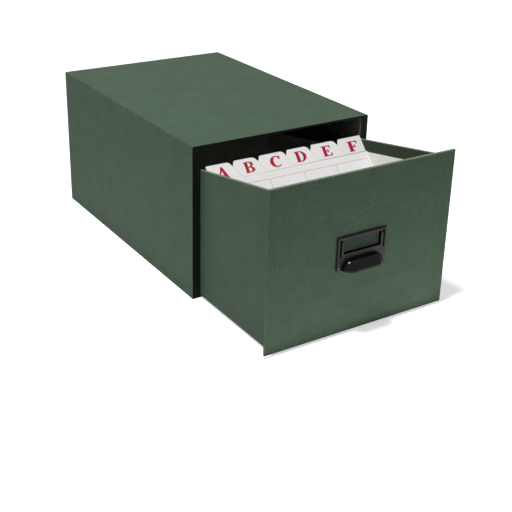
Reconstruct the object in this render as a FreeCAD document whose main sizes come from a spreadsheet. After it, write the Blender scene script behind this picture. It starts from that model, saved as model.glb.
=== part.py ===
import FreeCAD, Part
import Sketcher
import math
import os
from FreeCAD import Placement, Rotation, Vector

# Card-index drawer: a greyboard case, open at the front, and a drawer that slides in it.
# Every length is in millimetres.  X runs across, Y from the mouth to the back, Z up.
# The origin is the middle of the case's underside.  The drawer stands part-way open.

os.makedirs("parts", exist_ok=True)
doc = FreeCAD.newDocument("card_index_drawer")

# ---------------------------------------------------------------- driving dimensions
DIMENSIONS = [
    # boards and papers
    ("board", 2.4),            # greyboard of every wall
    ("cover", 0.3),            # covering paper, outside
    ("lining", 0.3),           # lining paper, inside
    ("packer", 8.4),           # laminated side packer that guides the drawer
    ("cover_radius", 0.6),     # where the covering paper turns round a board edge
    ("case_radius", 1.5),      # the two long upper corners of the case
    # cards, whose format sets the width of the tray and of the case round it
    ("card_width", 250),
    ("card_height", 190),
    ("card_margin", 1),        # left free at each end of the cards
    # case
    ("case_height", 216),
    ("case_depth", 411),
    # running fit of the drawer
    ("side_clearance", 0.6),
    ("floor_clearance", 0.3),
    ("top_clearance", 0.4),
    ("closed_gap", 0.3),       # between the front panel and the mouth when shut
    ("drawn_out", 171.7),      # how far the drawer stands open
    # tray
    ("tray_length", 402),
    ("tray_rear_height", 141),
    ("turn_in", 17),           # width of the cover turned over the upper edge
    # front panel
    ("panel_rise", 3),         # above the top of the case
    # label holder, a shallow pan pressed from sheet
    ("holder_width", 75),
    ("holder_height", 44.5),
    ("holder_depth", 2.7),     # from the panel to the face of the plate
    ("holder_sheet", 0.8),
    ("holder_raise", 3.2),     # above the middle of the panel
    ("holder_aside", 2.5),     # to the left of the middle of the panel
    ("holder_corner", 2),
    ("holder_rounding", 1.2),  # of the front edge all round
    ("rim_width", 2.9),
    ("slot_width", 2.6),       # open slot beside the window frame
    ("slot_top", 3),           # the same along its upper side, where a label goes in
    ("window_width", 57),
    ("window_height", 16.5),
    ("frame_width", 3.5),
    ("frame_rise", 0.5),       # over the plate
    ("frame_rounding", 0.3),
    # cup pull
    ("pull_width", 63),
    ("pull_reach", 14.4),
    ("pull_sheet", 1.2),
    ("pull_lip_up", 0.9),      # lip above the plate's lower edge
    # rivets
    ("rivet_shank", 1),        # radius
    ("rivet_play", 0.1),       # between the shank and its holes
    ("rivet_head", 1.5),       # radius
    ("rivet_dome", 0.5),       # height of the head over its seat
    ("rivet_crown", 0.8),      # radius of the flat on top of the head
    ("rivet_in", 2.4),         # centre from the plate's side edge
    ("rivet_up", 4.6),         # centre from the plate's lower edge
    ("washer_radius", 3),
    ("washer_sheet", 0.6),
    # guide cards and index cards
    ("guide_rise", 5),         # a guide's body stands this much over the cards
    ("tab_height", 23.2),
    ("tab_top", 32.4),         # width of a tab along its upper side
    ("tab_slant", 17.6),       # run of its right side
    ("tab_radius", 7),
    ("tab_left_slant", 7.5),   # run of its left side
    ("tab_left_radius", 1.5),
    ("guide_sheet", 0.6),
    ("guide_pitch", 0.9),      # from one guide to the next, square to them
    ("guide_lean", 32.4),      # degrees from upright
    ("guide_foot", 46),        # first guide's foot behind the front panel
    ("guide_air", 0.1),        # between a card's edge and the tray floor
    ("index_sheet", 0.3),
    ("index_pitch", 0.42),
    ("index_lean", 23.3),      # degrees from upright
    ("index_count", 20),
]

sheet = doc.addObject("Spreadsheet::Sheet", "sizes")
for row, (alias, number) in enumerate(DIMENSIONS, start=1):
    sheet.set(f"A{row}", alias)
    sheet.set(f"B{row}", str(number))
    sheet.setAlias(f"B{row}", alias)
doc.recompute()


def cell(name):
    return f"sizes.{name}"


def value(expression):
    result = sheet.evalExpression(expression)
    return float(getattr(result, "Value", result))


# ---------------------------------------------------------------- derived places
board = cell("board")
cover = cell("cover")
lining = cell("lining")

# across, from the cards out
tray_inner_x = f"({cell('card_width')} / 2 + {cell('card_margin')})"
tray_lining_x = f"({tray_inner_x} + {lining})"
tray_board_x = f"({tray_lining_x} + {board})"
tray_x = f"({tray_board_x} + {cover})"
bore_x = f"({tray_x} + {cell('side_clearance')})"
side_lining_x = f"({bore_x} + {lining})"
packer_x = f"({side_lining_x} + {cell('packer')})"
core_x = f"({packer_x} + {board})"
case_x = f"({core_x} + {cover})"

# case, along and up
case_back = f"({cell('case_depth')} / 2)"
case_front = f"(-{cell('case_depth')} / 2)"
core_back = f"({case_back} - {cover})"
core_front = f"({case_front} + {cover})"
bore_back = f"({core_back} - {board} - {lining})"
case_top = cell("case_height")
core_top = f"({case_top} - {cover})"
top_board_under = f"({core_top} - {board})"
bore_top = f"({top_board_under} - {lining})"
floor_board_top = f"({cover} + {board})"
bore_floor = f"({floor_board_top} + {lining})"

# tray, which runs in the bore of the case, and the panel on its front
tray_under = f"({bore_floor} + {cell('floor_clearance')})"
tray_floor_board = f"({tray_under} + {cover})"
tray_floor_lining = f"({tray_floor_board} + {board})"
tray_floor = f"({tray_floor_lining} + {lining})"
panel_back = f"({case_front} - {cell('closed_gap')} - {cell('drawn_out')})"
panel_board_back = f"({panel_back} - {cover})"
panel_board_front = f"({panel_board_back} - {board})"
panel_front = f"({panel_board_front} - {cover})"
panel_under = tray_under
panel_top = f"({case_top} + {cell('panel_rise')})"
wall_front_top = f"({bore_top} - {cell('top_clearance')})"
wall_rear_top = f"({tray_under} + {cell('tray_rear_height')})"
front_wall_in = f"({panel_back} + {board})"
front_lining_in = f"({front_wall_in} + {lining})"
tray_rear = f"({panel_back} + {cell('tray_length')})"
rear_board_out = f"({tray_rear} - {cover})"
rear_board_in = f"({rear_board_out} - {board})"
rear_lining_in = f"({rear_board_in} - {lining})"
wall_fall = f"(({wall_front_top} - {wall_rear_top}) / {cell('tray_length')})"


def wall_top_at(y):
    """Height of the tray's side walls at a place along Y: they fall away to the rear."""
    return f"({wall_front_top} - ({y} - {panel_back}) * {wall_fall})"


# label holder and pull, near the middle of the front panel
holder_x = f"(-{cell('holder_aside')})"
holder_middle = f"(({panel_under} + {panel_top}) / 2 + {cell('holder_raise')})"
holder_under = f"({holder_middle} - {cell('holder_height')} / 2)"
holder_front = f"({panel_front} - {cell('holder_depth')})"
rivet_reach = f"({cell('holder_width')} / 2 - {cell('rivet_in')})"
rivet_left = f"({holder_x} - {rivet_reach})"
rivet_right = f"({holder_x} + {rivet_reach})"
rivet_z = f"({holder_under} + {cell('rivet_up')})"
rivet_hole = f"({cell('rivet_shank')} + {cell('rivet_play')})"
pull_lip = f"({holder_under} + {cell('pull_lip_up')})"

# guide cards, one for each letter, stand one behind the other
guide_letters = "abcdef"
quarter_turn = 90
full_turn = 360
tolerance = 1e-3

nodes = []


def name_node(item, label):
    item.Label = label
    nodes.append(item)
    return item


def bind(item, **expressions):
    for key, expression in expressions.items():
        item.setExpression(key.replace("__", "."), expression)


def block(label, x, y, z, listed=True):
    """Box between pairs of expressions along X, Y and Z."""
    box = doc.addObject("Part::Box", label)
    bind(box, Length=f"{x[1]} - ({x[0]})", Width=f"{y[1]} - ({y[0]})", Height=f"{z[1]} - ({z[0]})",
         Placement__Base__x=x[0], Placement__Base__y=y[0], Placement__Base__z=z[0])
    return name_node(box, label) if listed else box


def tapered(label, x, y, z_front, z_rear, listed=True):
    """Upright slab whose lower and upper edges may differ at its front and rear ends."""
    slab = doc.addObject("Part::Wedge", label)
    bind(slab, Xmin=x[0], Xmax=x[1], X2min=x[0], X2max=x[1], Ymin=y[0], Ymax=y[1],
         Zmin=z_front[0], Zmax=z_front[1], Z2min=z_rear[0], Z2max=z_rear[1])
    return name_node(slab, label) if listed else slab


def joined(label, pieces):
    """One folded sheet made of flat stretches that meet face to face."""
    fuse = doc.addObject("Part::MultiFuse", label)
    fuse.Shapes = pieces
    fuse.Refine = True
    return name_node(fuse, label)


def plane(body, role):
    return next(f for f in body.Origin.OriginFeatures if f.Role == role)


def new_body(label, x="0", y="0", z="0"):
    body = doc.addObject("PartDesign::Body", label)
    bind(body, Placement__Base__x=x, Placement__Base__y=y, Placement__Base__z=z)
    return name_node(body, label)


def new_sketch(body, name, role, offset=None):
    sketch = body.newObject("Sketcher::SketchObject", name)
    sketch.AttachmentSupport = [(plane(body, role), "")]
    sketch.MapMode = "FlatFace"
    if offset:
        bind(sketch, AttachmentOffset__Base__z=offset)
    return sketch


def outline(sketch, corners):
    """Closed loop of straight lines through corners, each a pair of expressions."""
    points = [Vector(value(u), value(v), 0) for u, v in corners]
    first = sketch.GeometryCount
    for k, start in enumerate(points):
        sketch.addGeometry(Part.LineSegment(start, points[(k + 1) % len(points)]))
    for k in range(len(points)):
        following = first + (k + 1) % len(points)
        sketch.addConstraint(Sketcher.Constraint("Coincident", first + k, 2, following, 1))
    for k, (u, v) in enumerate(corners):
        for kind, expression, number in (("DistanceX", u, points[k].x), ("DistanceY", v, points[k].y)):
            index = sketch.addConstraint(Sketcher.Constraint(kind, -1, 1, first + k, 1, number))
            sketch.setExpression(f"Constraints[{index}]", expression)


def circle(sketch, x, z, radius):
    """Full circle whose centre and radius are expressions."""
    centre = Vector(value(x), value(z), 0)
    ring = sketch.addGeometry(Part.Circle(centre, Vector(0, 0, 1), value(radius)))
    for kind, expression, number in (("DistanceX", x, centre.x), ("DistanceY", z, centre.y)):
        index = sketch.addConstraint(Sketcher.Constraint(kind, -1, 1, ring, 3, number))
        sketch.setExpression(f"Constraints[{index}]", expression)
    index = sketch.addConstraint(Sketcher.Constraint("Radius", ring, value(radius)))
    sketch.setExpression(f"Constraints[{index}]", radius)


def pierced(label, slab, y):
    """Slab with the two rivet holes drilled through it along Y."""
    drills = []
    for side, x in (("left", rivet_left), ("right", rivet_right)):
        drill = doc.addObject("Part::Cylinder", f"{label}_{side}_drill")
        drill.Placement = Placement(Vector(), Rotation(Vector(1, 0, 0), -quarter_turn))
        bind(drill, Radius=rivet_hole, Height=f"{y[1]} - ({y[0]}) + 2 * {board}",
             Placement__Base__x=x, Placement__Base__y=f"{y[0]} - {board}",
             Placement__Base__z=rivet_z)
        drills.append(drill)
    pair = doc.addObject("Part::Compound", label + "_drills")
    pair.Links = drills
    cut = doc.addObject("Part::Cut", label)
    cut.Base = slab
    cut.Tool = pair
    return name_node(cut, label)


def pad(body, sketch, length, midplane=False):
    feature = body.newObject("PartDesign::Pad", sketch.Name + "_pad")
    feature.Profile = sketch
    feature.Midplane = midplane
    feature.setExpression("Length", length)
    doc.recompute()
    return feature


def cut_through(body, sketch, length):
    """Pocket straight through, on the side where the metal or card is."""
    before = body.Shape.Volume
    feature = body.newObject("PartDesign::Pocket", sketch.Name + "_cut")
    feature.Profile = sketch
    feature.Midplane = True
    feature.setExpression("Length", f"2 * ({length})")
    doc.recompute()
    if feature.Shape.Volume >= before:
        raise RuntimeError(f"{feature.Label} cuts nothing")
    return feature


def rounded(body, name, radius, chosen):
    """Fillet on every edge of the body's tip that the test 'chosen' accepts."""
    base = body.Tip
    picked = [f"Edge{k}" for k, edge in enumerate(base.Shape.Edges, start=1) if chosen(edge)]
    feature = body.newObject("PartDesign::Fillet", name)
    feature.Base = (base, picked)
    feature.setExpression("Radius", radius)
    doc.recompute()
    return feature


def along(edge, axis):
    """True for a straight edge that runs along the axis 0, 1 or 2."""
    size = [edge.BoundBox.XLength, edge.BoundBox.YLength, edge.BoundBox.ZLength]
    across = [size[k] for k in range(3) if k != axis]
    return size[axis] > 10 * tolerance and max(across) < tolerance


def near(a, b):
    return abs(a - b) < tolerance


# ---------------------------------------------------------------- case


def build_case():
    boards_y = (core_front, core_back)
    inside_y = (core_front, f"{core_back} - {board}")

    top = new_body("case_top_board", y=core_front)
    profile = new_sketch(top, "top_profile", "XZ_Plane")
    outline(profile, [(f"-{core_x}", top_board_under), (core_x, top_board_under),
                      (core_x, core_top), (f"-{core_x}", core_top)])
    run = pad(top, profile, f"{inside_y[1]} - ({inside_y[0]})")
    run.Reversed = True
    doc.recompute()
    upper = value(core_top)
    rounded(top, "top_corners", f"{cell('case_radius')} - {cover}",
            lambda e: along(e, 1) and near(e.BoundBox.ZMin, upper))

    block("case_bottom_board", (f"-{core_x}", core_x), inside_y, (cover, floor_board_top))
    for side, x in (("left", (f"-{core_x}", f"-{packer_x}")), ("right", (packer_x, core_x))):
        block(f"case_{side}_board", x, inside_y, (floor_board_top, top_board_under))
    for side, x in (("left", (f"-{packer_x}", f"-{side_lining_x}")),
                    ("right", (side_lining_x, packer_x))):
        block(f"case_{side}_packer", x, inside_y, (floor_board_top, top_board_under))
    block("case_back_board", (f"-{core_x}", core_x), (inside_y[1], core_back), (cover, core_top))

    # covering paper: one sheet over the left side, the top and the right side
    wrap = new_body("case_cover_wrap", y=core_front)
    profile = new_sketch(wrap, "wrap_profile", "XZ_Plane")
    outline(profile, [(f"-{case_x}", cover), (f"-{core_x}", cover), (f"-{core_x}", core_top),
                      (core_x, core_top), (core_x, cover), (case_x, cover),
                      (case_x, case_top), (f"-{case_x}", case_top)])
    run = pad(wrap, profile, f"{boards_y[1]} - ({boards_y[0]})")
    run.Reversed = True
    doc.recompute()
    crown = value(case_top)
    rounded(wrap, "wrap_inner_corners", f"{cell('case_radius')} - {cover}",
            lambda e: along(e, 1) and near(e.BoundBox.ZMin, upper))
    rounded(wrap, "wrap_outer_corners", cell("case_radius"),
            lambda e: along(e, 1) and near(e.BoundBox.ZMin, crown))
    block("case_base_sheet", (f"-{case_x}", case_x), (core_front, core_back), ("0", cover))
    block("case_back_sheet", (f"-{case_x}", case_x), (core_back, case_back), ("0", core_top))

    # black binding over the board edges round the mouth
    binding = new_body("case_mouth_binding", y=core_front)
    frame = new_sketch(binding, "binding_frame", "XZ_Plane")
    outline(frame, [(f"-{case_x}", "0"), (case_x, "0"), (case_x, case_top), (f"-{case_x}", case_top)])
    outline(frame, [(f"-{bore_x}", bore_floor), (bore_x, bore_floor),
                    (bore_x, bore_top), (f"-{bore_x}", bore_top)])
    pad(binding, frame, cover)
    rounded(binding, "binding_corners", cell("case_radius"),
            lambda e: along(e, 1) and near(e.BoundBox.ZMin, crown))

    # dark lining
    lining_y = (core_front, f"{core_back} - {board}")
    between = (f"-{side_lining_x}", side_lining_x)
    block("case_floor_lining", between, lining_y, (floor_board_top, bore_floor))
    block("case_top_lining", between, lining_y, (bore_top, top_board_under))
    for side, x in (("left", (f"-{side_lining_x}", f"-{bore_x}")), ("right", (bore_x, side_lining_x))):
        block(f"case_{side}_lining", x, lining_y, (bore_floor, bore_top))
    block("case_back_lining", (f"-{bore_x}", bore_x), (bore_back, f"{core_back} - {board}"),
          (bore_floor, bore_top))


# ---------------------------------------------------------------- tray


def build_tray():
    side_y = (panel_back, rear_board_out)
    side_front_z = (tray_floor_lining, f"{wall_front_top} - {cover}")
    side_rear_z = (tray_floor_lining, f"{wall_top_at(rear_board_out)} - {cover}")
    rear_top = f"({wall_top_at(tray_rear)})"

    block("tray_floor_board", (f"-{tray_board_x}", tray_board_x), side_y,
          (tray_floor_board, tray_floor_lining))
    block("tray_underside_sheet", (f"-{tray_x}", tray_x), (panel_back, tray_rear),
          (tray_under, tray_floor_board))

    for side in ("left", "right"):
        def span(a, b):
            return (f"-{b}", f"-{a}") if side == "left" else (a, b)

        tapered(f"tray_{side}_wall", span(tray_lining_x, tray_board_x), side_y,
                side_front_z, side_rear_z)
        outside = tapered(f"{side}_outside", span(tray_board_x, tray_x), (panel_back, tray_rear),
                          (tray_floor_board, wall_front_top), (tray_floor_board, rear_top), False)
        edge = tapered(f"{side}_edge", span(tray_inner_x, tray_board_x), side_y,
                       (f"{wall_front_top} - {cover}", wall_front_top),
                       (f"{wall_top_at(rear_board_out)} - {cover}", wall_top_at(rear_board_out)), False)
        inside_y = (front_wall_in, rear_board_in)
        inside = tapered(f"{side}_inside", span(tray_inner_x, tray_lining_x), inside_y,
                         (f"{wall_top_at(front_wall_in)} - {cell('turn_in')}",
                          wall_top_at(front_wall_in)),
                         (f"{wall_top_at(rear_board_in)} - {cell('turn_in')}",
                          wall_top_at(rear_board_in)), False)
        joined(f"tray_{side}_cover", [outside, edge, inside])
        tapered(f"tray_{side}_lining", span(tray_inner_x, tray_lining_x),
                (front_wall_in, rear_board_in),
                (tray_floor_lining, f"{wall_top_at(front_wall_in)} - {cell('turn_in')}"),
                (tray_floor_lining, f"{wall_top_at(rear_board_in)} - {cell('turn_in')}"))

    between = (f"-{tray_lining_x}", tray_lining_x)
    clear = (f"-{tray_inner_x}", tray_inner_x)
    front_top = f"({wall_top_at(front_lining_in)} - {cover})"
    wall_y = (panel_back, front_wall_in)
    pierced("tray_front_wall",
            block("front_wall", between, wall_y, (tray_floor_lining, front_top), False), wall_y)
    block("tray_rear_wall", between, (rear_board_in, rear_board_out),
          (tray_floor_lining, f"{rear_top} - {cover}"))

    edge = block("front_edge", clear, (panel_back, front_lining_in),
                 (front_top, f"{front_top} + {cover}"), False)
    inside = block("front_inside", clear, (front_wall_in, front_lining_in),
                   (f"{front_top} + {cover} - {cell('turn_in')}", front_top), False)
    joined("tray_front_cover", [edge, inside])
    lining_y = (front_wall_in, front_lining_in)
    lining_z = (tray_floor_lining, f"{front_top} + {cover} - {cell('turn_in')}")
    pierced("tray_front_lining", block("front_lining", clear, lining_y, lining_z, False), lining_y)

    outside = block("rear_outside", (f"-{tray_board_x}", tray_board_x), (rear_board_out, tray_rear),
                    (tray_floor_board, rear_top), False)
    edge = block("rear_edge", clear, (rear_lining_in, rear_board_out),
                 (f"{rear_top} - {cover}", rear_top), False)
    inside = block("rear_inside", clear, (rear_lining_in, rear_board_in),
                   (f"{rear_top} - {cell('turn_in')}", f"{rear_top} - {cover}"), False)
    joined("tray_rear_cover", [outside, edge, inside])
    block("tray_rear_lining", clear, (rear_lining_in, rear_board_in),
          (tray_floor_lining, f"{rear_top} - {cell('turn_in')}"))
    block("tray_floor_lining", clear, (front_lining_in, rear_lining_in),
          (tray_floor_lining, tray_floor))


# ---------------------------------------------------------------- front panel


def build_panel():
    across = (f"-{core_x}", core_x)
    upright = (f"{panel_under} + {cover}", f"{panel_top} - {cover}")
    for name, y in (("board", (panel_board_front, panel_board_back)),
                    ("backing", (panel_board_back, panel_back))):
        pierced(f"drawer_front_{name}", block(f"front_{name}", across, y, upright, False), y)

    skin = new_body("drawer_front_cover", y=panel_back)
    face = new_sketch(skin, "panel_face", "XZ_Plane")
    outline(face, [(f"-{case_x}", panel_under), (case_x, panel_under),
                   (case_x, panel_top), (f"-{case_x}", panel_top)])
    pad(skin, face, f"{panel_back} - {panel_front}")
    front = value(f"{panel_front} - {panel_back}")
    rounded(skin, "panel_edges", cell("cover_radius"),
            lambda e: along(e, 1) or near(e.BoundBox.YMax, front))
    bed = new_sketch(skin, "board_bed", "XZ_Plane")
    outline(bed, [(f"-{core_x}", f"{panel_under} + {cover}"), (core_x, f"{panel_under} + {cover}"),
                  (core_x, f"{panel_top} - {cover}"), (f"-{core_x}", f"{panel_top} - {cover}")])
    cut_through(skin, bed, f"{panel_back} - {panel_board_front}")
    holes = new_sketch(skin, "panel_rivet_holes", "XZ_Plane")
    for x in (rivet_left, rivet_right):
        circle(holes, x, rivet_z, rivet_hole)
    cut_through(skin, holes, f"{panel_back} - {panel_front}")


# ---------------------------------------------------------------- label holder and cup pull


def build_holder():
    """Pan with its open side to the panel; a label goes in from above, behind the frame."""
    half = f"({cell('holder_width')} / 2)"
    high = f"({cell('holder_height')})"
    holder = new_body("label_holder", x=holder_x, y=panel_front, z=holder_under)

    # places of the slot inside the rim, and of the window frame inside the slot
    slot_x = f"({half} - {cell('rim_width')})"
    frame_x = f"({slot_x} - {cell('slot_width')})"
    window_x = f"({cell('window_width')} / 2)"
    slot_top = f"({high} - {cell('rim_width')})"
    frame_top = f"({slot_top} - {cell('slot_top')})"
    window_foot = f"({frame_top} - {cell('window_height')})"
    frame_foot = f"({window_foot} - {cell('frame_width')})"
    frame_front = f"({cell('holder_depth')} + {cell('frame_rise')})"

    plate = new_sketch(holder, "plate", "XZ_Plane")
    outline(plate, [(f"-{half}", "0"), (half, "0"), (half, high), (f"-{half}", high)])
    pad(holder, plate, cell("holder_depth"))
    side_x = value(half)
    rounded(holder, "plate_corners", cell("holder_corner"),
            lambda e: along(e, 1) and near(abs(e.CenterOfMass.x), side_x))
    front = -value(cell("holder_depth"))
    rounded(holder, "plate_rounding", cell("holder_rounding"),
            lambda e: near(e.BoundBox.YMin, front) and near(e.BoundBox.YMax, front))

    frame = new_sketch(holder, "frame", "XZ_Plane")
    outline(frame, [(f"-{frame_x}", frame_foot), (frame_x, frame_foot), (frame_x, frame_top),
                    (window_x, frame_top), (window_x, window_foot), (f"-{window_x}", window_foot),
                    (f"-{window_x}", frame_top), (f"-{frame_x}", frame_top)])
    pad(holder, frame, frame_front)

    # hollow back: the sheet is as thick all over
    hollow_x = f"({half} - {cell('holder_sheet')})"
    hollow_top = f"({high} - {cell('holder_sheet')})"
    hollow = new_sketch(holder, "hollow", "XZ_Plane")
    outline(hollow, [(f"-{hollow_x}", cell("holder_sheet")), (hollow_x, cell("holder_sheet")),
                     (hollow_x, hollow_top), (f"-{hollow_x}", hollow_top)])
    cut_through(holder, hollow, f"{cell('holder_depth')} - {cell('holder_sheet')}")

    # one opening: the window, the slots beside it and the slot over it
    opening = new_sketch(holder, "opening", "XZ_Plane")
    outline(opening, [(f"-{slot_x}", frame_foot), (f"-{frame_x}", frame_foot),
                      (f"-{frame_x}", frame_top), (f"-{window_x}", frame_top),
                      (f"-{window_x}", window_foot), (window_x, window_foot),
                      (window_x, frame_top), (frame_x, frame_top),
                      (frame_x, frame_foot), (slot_x, frame_foot),
                      (slot_x, slot_top), (f"-{slot_x}", slot_top)])
    cut_through(holder, opening, frame_front)

    holes = new_sketch(holder, "rivet_holes", "XZ_Plane")
    for side in ("-", ""):
        circle(holes, f"{side}{rivet_reach}", cell("rivet_up"), rivet_hole)
    cut_through(holder, holes, cell("holder_depth"))

    frame_y = -value(frame_front)
    rounded(holder, "frame_rounding_edges", cell("frame_rounding"),
            lambda e: near(e.BoundBox.YMin, frame_y) and near(e.BoundBox.YMax, frame_y))


def quarter_ring(sketch):
    """Section of the cup: a quarter of a ring, out from the plate and up from the lip."""
    reach = value(cell("pull_reach"))
    bore = value(f"{cell('pull_reach')} - {cell('pull_sheet')}")
    middle = Vector(0, 0, 0)
    upright = Vector(0, 0, 1)
    arcs = []
    for radius in (reach, bore):
        ring = Part.Circle(middle, upright, radius)
        arcs.append(sketch.addGeometry(Part.ArcOfCircle(ring, math.pi / 2, math.pi)))
    top = sketch.addGeometry(Part.LineSegment(Vector(0, reach, 0), Vector(0, bore, 0)))
    lip = sketch.addGeometry(Part.LineSegment(Vector(-reach, 0, 0), Vector(-bore, 0, 0)))
    for arc, end in ((arcs[0], 1), (arcs[1], 2)):
        sketch.addConstraint(Sketcher.Constraint("Coincident", arc, 3, -1, 1))
        sketch.addConstraint(Sketcher.Constraint("Coincident", arc, 1, top, end))
        sketch.addConstraint(Sketcher.Constraint("Coincident", arc, 2, lip, end))
    sketch.addConstraint(Sketcher.Constraint("Vertical", top))
    sketch.addConstraint(Sketcher.Constraint("Horizontal", lip))
    sketch.addConstraint(Sketcher.Constraint("PointOnObject", top, 1, -2))
    sketch.addConstraint(Sketcher.Constraint("PointOnObject", lip, 1, -1))
    for arc, number, expression in ((arcs[0], reach, cell("pull_reach")),
                                    (arcs[1], bore, f"{cell('pull_reach')} - {cell('pull_sheet')}")):
        index = sketch.addConstraint(Sketcher.Constraint("Radius", arc, number))
        sketch.setExpression(f"Constraints[{index}]", expression)


def build_pull():
    """Hood of one thickness: a straight middle and two ends that turn back to the plate."""
    straight = f"({cell('pull_width')} - 2 * {cell('pull_reach')})"
    pull = new_body("cup_pull", x=holder_x, y=holder_front, z=pull_lip)
    middle = new_sketch(pull, "cup_section", "YZ_Plane")
    quarter_ring(middle)
    pad(pull, middle, straight, midplane=True)
    for side, sign in (("left", "-"), ("right", "")):
        section = new_sketch(pull, f"cup_{side}_section", "YZ_Plane", f"{sign}{straight} / 2")
        quarter_ring(section)
        before = pull.Shape.Volume
        end = pull.newObject("PartDesign::Revolution", f"cup_{side}_end")
        end.Profile = section
        end.ReferenceAxis = (section, ["V_Axis"])
        end.Angle = quarter_turn
        end.Reversed = side == "left"
        doc.recompute()
        if end.Shape.Volume <= before:
            raise RuntimeError(f"cup {side} end adds nothing")


def turned(label, profile, x, z):
    """Revolved piece on an axis along Y through (x, z); profile gives (distance out, radius)."""
    body = doc.addObject("PartDesign::Body", label)
    bind(body, Placement__Base__x=x, Placement__Base__y=panel_front, Placement__Base__z=z)
    section = new_sketch(body, label + "_section", "XY_Plane")
    outline(section, [(radius, out) for out, radius in profile])
    spin = body.newObject("PartDesign::Revolution", label + "_spin")
    spin.Profile = section
    spin.ReferenceAxis = (section, ["V_Axis"])
    spin.Angle = full_turn
    doc.recompute()
    return body


def grouped(label, bodies):
    compound = doc.addObject("Part::Compound", label)
    compound.Links = bodies
    return name_node(compound, label)


def build_rivets():
    seat = f"(-{cell('holder_depth')})"
    dome = f"({seat} - {cell('rivet_dome')})"
    shoulder = f"({seat} - {cell('rivet_dome')} / 2)"
    inside = f"({front_lining_in} - {panel_front})"
    washer_face = f"({inside} + {cell('washer_sheet')})"
    tail = f"({washer_face} + {cell('rivet_dome')})"
    crown = cell("rivet_crown")
    rivets = []
    washers = []
    for side, x in (("left", rivet_left), ("right", rivet_right)):
        shank = [(dome, "0"), (dome, crown), (shoulder, cell("rivet_head")),
                 (seat, cell("rivet_head")), (seat, cell("rivet_shank")),
                 (washer_face, cell("rivet_shank")), (washer_face, cell("rivet_head")),
                 (tail, crown), (tail, "0")]
        rivets.append(turned(f"{side}_rivet", shank, x, rivet_z))
        ring = [(inside, rivet_hole), (inside, cell("washer_radius")),
                (washer_face, cell("washer_radius")), (washer_face, rivet_hole)]
        washers.append(turned(f"{side}_washer", ring, x, rivet_z))
    grouped("pull_rivets", rivets)
    grouped("rivet_washers", washers)


# ---------------------------------------------------------------- guide cards and index cards


def lean(item, degrees):
    """Tip an upright sheet back about its foot."""
    item.Placement = Placement(item.Placement.Base, Rotation(Vector(1, 0, 0), -1))
    bind(item, Placement__Rotation__Angle=f"-{degrees}")


def foot_height(thickness, degrees):
    """A leaning sheet stands on the rear edge of its foot."""
    return f"({tray_floor} + {cell('guide_air')} + {thickness} * sin({degrees}))"


def build_guides():
    tilt = cell("guide_lean")
    half = f"({cell('card_width')} / 2)"
    height = f"({cell('card_height')} + {cell('guide_rise')})"
    crown = f"({height} + {cell('tab_height')})"
    for k, letter in enumerate(guide_letters):
        foot_y = f"({panel_back} + {cell('guide_foot')} + {k} * {cell('guide_pitch')} / cos({tilt}))"
        guide = new_body(f"guide_card_{letter}", y=foot_y, z=foot_height(cell("guide_sheet"), tilt))
        left = f"({k} * {cell('card_width')} / {len(guide_letters)} - {half})"
        right = f"({left} + {cell('tab_top')})"
        face = new_sketch(guide, f"guide_{letter}_face", "XZ_Plane")
        corners = [(f"-{half}", "0"), (half, "0")]
        last = k == len(guide_letters) - 1
        if last:
            corners += [(half, crown)]
        else:
            corners += [(half, height), (f"{right} + {cell('tab_slant')}", height), (right, crown)]
        corners += [(left, crown)]
        if k:
            corners += [(f"({left} - {cell('tab_left_slant')})", height), (f"-{half}", height)]
        outline(face, corners)
        run = pad(guide, face, cell("guide_sheet"))
        run.Reversed = True
        doc.recompute()
        corners_x = [("left", value(left), cell("tab_left_radius"))]
        if not last:
            corners_x.append(("right", value(right), cell("tab_radius")))
        for side, corner_x, radius in corners_x:
            rounded(guide, f"tab_{letter}_{side}_corner", radius,
                    lambda e: along(e, 1) and near(e.BoundBox.XMin, corner_x)
                    and near(e.BoundBox.ZMax, value(crown)))
        lean(guide, tilt)


def build_index_cards():
    tilt = cell("index_lean")
    half = f"({cell('card_width')} / 2)"
    # the pack stands so that the last guide lies on its upper front edge
    stack = f"{len(guide_letters) - 1} * {cell('guide_pitch')} + {cell('guide_sheet')}"
    guides_back = (f"({panel_back} + {cell('guide_foot')}"
                   f" + ({stack} + {cell('guide_air')}) / cos({cell('guide_lean')}))")
    pack_top = f"({cell('card_height')} * cos({tilt}))"
    first_y = (f"({guides_back} + {pack_top} * tan({cell('guide_lean')})"
               f" - {cell('card_height')} * sin({tilt}))")
    cards = []
    for k in range(int(value(cell("index_count")))):
        card = doc.addObject("Part::Box", f"index_card_{k + 1}")
        bind(card, Length=cell("card_width"), Width=cell("index_sheet"), Height=cell("card_height"),
             Placement__Base__x=f"-{half}",
             Placement__Base__y=f"{first_y} + {k} * {cell('index_pitch')} / cos({tilt})",
             Placement__Base__z=foot_height(cell("index_sheet"), tilt))
        lean(card, tilt)
        cards.append(card)
    grouped("index_cards", cards)


build_case()
build_tray()
build_panel()
build_holder()
build_pull()
build_rivets()
build_guides()
build_index_cards()
doc.recompute()

# ---------------------------------------------------------------- checks and files
for item in doc.Objects:
    if "Invalid" in item.State or "Error" in item.State:
        raise RuntimeError(f"{item.Label} failed: {item.State}")
for item in nodes:
    if item.Shape.isNull() or not item.Shape.isValid():
        raise RuntimeError(f"{item.Label} has no valid shape")
for item in nodes:
    item.Shape.exportStep(f"parts/{item.Label}.step")
print(len(nodes), "nodes written")
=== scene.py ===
import math

import bmesh
import bpy
from mathutils import Matrix, Vector


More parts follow.
